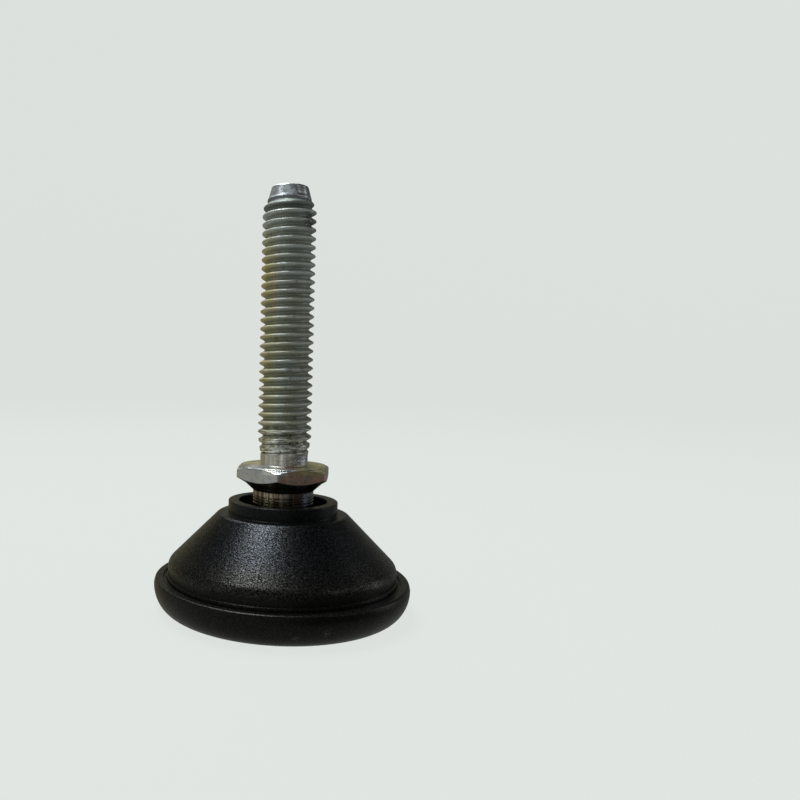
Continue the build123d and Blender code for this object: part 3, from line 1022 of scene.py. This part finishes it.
rim_in_radii = (LAND_IN_R - RIM_IN_R, RIM_SIDE_Z)
base_outline += arc((LAND_IN_R, RIM_SIDE_Z), rim_in_radii, radians(-90), radians(-180), RIM_IN_STEPS)[:-1]
base_outline += rounded([
    (RIM_IN_R, RIM_SIDE_Z, 0.0),
    (POCKET_OUT_R, pocket_side_z, 0.8),
    (roof_r, ROOF_Z, 0.3),
    (HUB_ROOT_R, ROOF_Z, 0.8),
    (HUB_FOOT_R, HUB_FOOT_Z, 2.4),
    (HUB_NOSE_R, HUB_FOOT_Z, 0.05),
    (0.0, HUB_FOOT_Z, 0.0),
], POCKET_STEPS)
base_columns = [(2 * pi * side / BASE_SIDES, base_outline) for side in range(BASE_SIDES)]
base_shell = turned_piece("base_shell", base_columns)
turn_outward(base_shell)
base_plastic = spark_plastic()
base_shell.data.materials.append(base_plastic)
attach(base_shell, "base")
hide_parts("base")


# Ribs
# Four thin webs of the same moulding join the hub to the cone and the rim. Their free edges lie deep beside
# the hub and sweep down to the rim, and they thicken where they meet the other walls.
RIB_COUNT = 4
RIB_START = radians(45)
RIB_T = 0.9
RIB_IN_R = 6.0
RIB_OUT_R = 15.0
RIB_FOOT_Z = 4.4
RIB_SWEEP_R = 3.0
RIB_SWEEP_END_R = RIM_IN_R + 0.3
RIB_TOP_Z = ROOF_Z + 1.0
RIB_ROOT_SWELL = 0.35
RIB_POINTS = (49, 7, 33)

# Where a rib swells beside the hub, the rim and the roof, and how its free edge thins, in millimetres
HUB_SWELL = (6.4, 7.4)
RIM_SWELL = (13.2, 14.4)
ROOF_SWELL = (2.4, 1.0)
EDGE_THINNING = (0.0, 0.28)
EDGE_SHARE = 0.72

rib_sizes = {
    "Count": RIB_COUNT,
    "Thickness": RIB_T * MM,
    "Inner Radius": RIB_IN_R * MM,
    "Outer Radius": RIB_OUT_R * MM,
    "Edge Height": RIB_FOOT_Z * MM,
    "Sweep Radius": RIB_SWEEP_R * MM,
    "Sweep Start": (RIB_SWEEP_END_R - RIB_SWEEP_R) * MM,
    "Roof Height": RIB_TOP_Z * MM,
    "Roof Radius": roof_r * MM,
    "Root Swell": RIB_ROOT_SWELL * MM,
}
rib_tree, given = node_tree("hub_ribs", **rib_sizes)
web = rib_tree.nodes.new("GeometryNodeMeshCube")
web.inputs["Size"].default_value = (1.0, 1.0, 1.0)
for axis, count in zip("XYZ", RIB_POINTS):
    web.inputs["Vertices " + axis].default_value = count
web_x, web_y, web_z = mesh_axes(rib_tree)

# A web runs out from the hub, and its free edge falls along a quarter circle before the rim
rib_span = calc(rib_tree, "SUBTRACT", given["Outer Radius"], given["Inner Radius"])
rib_r = calc(rib_tree, "MULTIPLY_ADD", calc(rib_tree, "ADD", web_x, 0.5), rib_span, given["Inner Radius"])
swept = calc(rib_tree, "MAXIMUM", calc(rib_tree, "SUBTRACT", rib_r, given["Sweep Start"]), 0.0)
swept = calc(rib_tree, "MINIMUM", swept, given["Sweep Radius"])
sweep_fall = quarter_round(rib_tree, swept, given["Sweep Radius"])
rib_low = calc(rib_tree, "SUBTRACT", given["Edge Height"], sweep_fall)
beyond_roof = calc(rib_tree, "MAXIMUM", calc(rib_tree, "SUBTRACT", rib_r, given["Roof Radius"]), 0.0)
rib_high = calc(rib_tree, "SUBTRACT", given["Roof Height"], beyond_roof)
rib_rise = calc(rib_tree, "SUBTRACT", rib_high, rib_low)
rib_z = calc(rib_tree, "MULTIPLY_ADD", calc(rib_tree, "ADD", web_z, 0.5), rib_rise, rib_low)

# It is thicker at its roots and a little thinner along its free edge
near_hub = fade(rib_tree, rib_r, HUB_SWELL, 1.0, 0.0)
near_rim = fade(rib_tree, rib_r, RIM_SWELL)
near_roof = fade(rib_tree, calc(rib_tree, "SUBTRACT", rib_high, rib_z), ROOF_SWELL)
swell = calc(rib_tree, "MAXIMUM", calc(rib_tree, "MAXIMUM", near_hub, near_rim), near_roof)
over_edge = calc(rib_tree, "SUBTRACT", rib_z, rib_low)
rib_t = product(rib_tree, given["Thickness"], fade(rib_tree, over_edge, EDGE_THINNING, EDGE_SHARE, 1.0))
rib_t = calc(rib_tree, "MULTIPLY_ADD", swell, given["Root Swell"], rib_t)
rib_place = placed(rib_tree, rib_r, calc(rib_tree, "MULTIPLY", web_y, rib_t), rib_z)
rib_mesh = moved_points(rib_tree, web.outputs["Mesh"], rib_place)

# Copies of the web stand all round the hub
whole = rib_tree.nodes.new("GeometryNodeGeometryToInstance")
rib_tree.links.new(rib_mesh, whole.inputs[0])
copies = rib_tree.nodes.new("GeometryNodeDuplicateElements")
copies.domain = "INSTANCE"
rib_tree.links.new(whole.outputs[0], copies.inputs["Geometry"])
link_value(rib_tree, copies.inputs["Amount"], given["Count"])
turned = rib_tree.nodes.new("GeometryNodeRotateInstances")
rib_tree.links.new(copies.outputs["Geometry"], turned.inputs["Instances"])
rib_step = calc(rib_tree, "DIVIDE", 2 * pi, given["Count"])
rib_turn = calc(rib_tree, "MULTIPLY_ADD", copies.outputs["Duplicate Index"], rib_step, RIB_START)
rib_tree.links.new(placed(rib_tree, 0.0, 0.0, rib_turn), turned.inputs["Rotation"])
finish_tree(rib_tree, turned.outputs[0], given["Surface"])
ribs = grown_piece("base_ribs", rib_tree, base_plastic, **rib_sizes)
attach(ribs, "base")
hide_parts("base")


# Gate mark
# The rough spot under the hub where the sprue broke off the moulding. It is a low disc of the same plastic,
# with an uneven edge and an uneven face.
GATE_R = 1.25
GATE_H = 0.14
GATE_SUNK = 0.3
GATE_FLARE = 1.05
GATE_SIDES = 40
GATE_STEPS = 10
EDGE_UNEVEN = 0.18
FACE_UNEVEN = 0.10

gate_columns = []
for side in range(GATE_SIDES):
    turn = 2 * pi * side / GATE_SIDES
    edge = GATE_R * (1.0 + EDGE_UNEVEN * noise.noise(Vector((3 * cos(turn), 3 * sin(turn), 5.0))))
    flared = edge * GATE_FLARE
    outline = [(0.0, HUB_FOOT_Z + GATE_SUNK), (flared, HUB_FOOT_Z + GATE_SUNK), (flared, HUB_FOOT_Z)]
    for step in range(1, GATE_STEPS):
        share = 1 - step / GATE_STEPS
        r = edge * share
        rough = noise.noise(Vector((r * cos(turn) * 2.2, r * sin(turn) * 2.2, 1.0)))
        outline.append((r, HUB_FOOT_Z - GATE_H - FACE_UNEVEN * rough * share))
    outline.append((0.0, HUB_FOOT_Z - GATE_H))
    gate_columns.append((turn, outline))
gate_mark = turned_piece("gate_mark", gate_columns)
turn_outward(gate_mark)
gate_mark.data.materials.append(base_plastic)
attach(gate_mark, "base")
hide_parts("base")
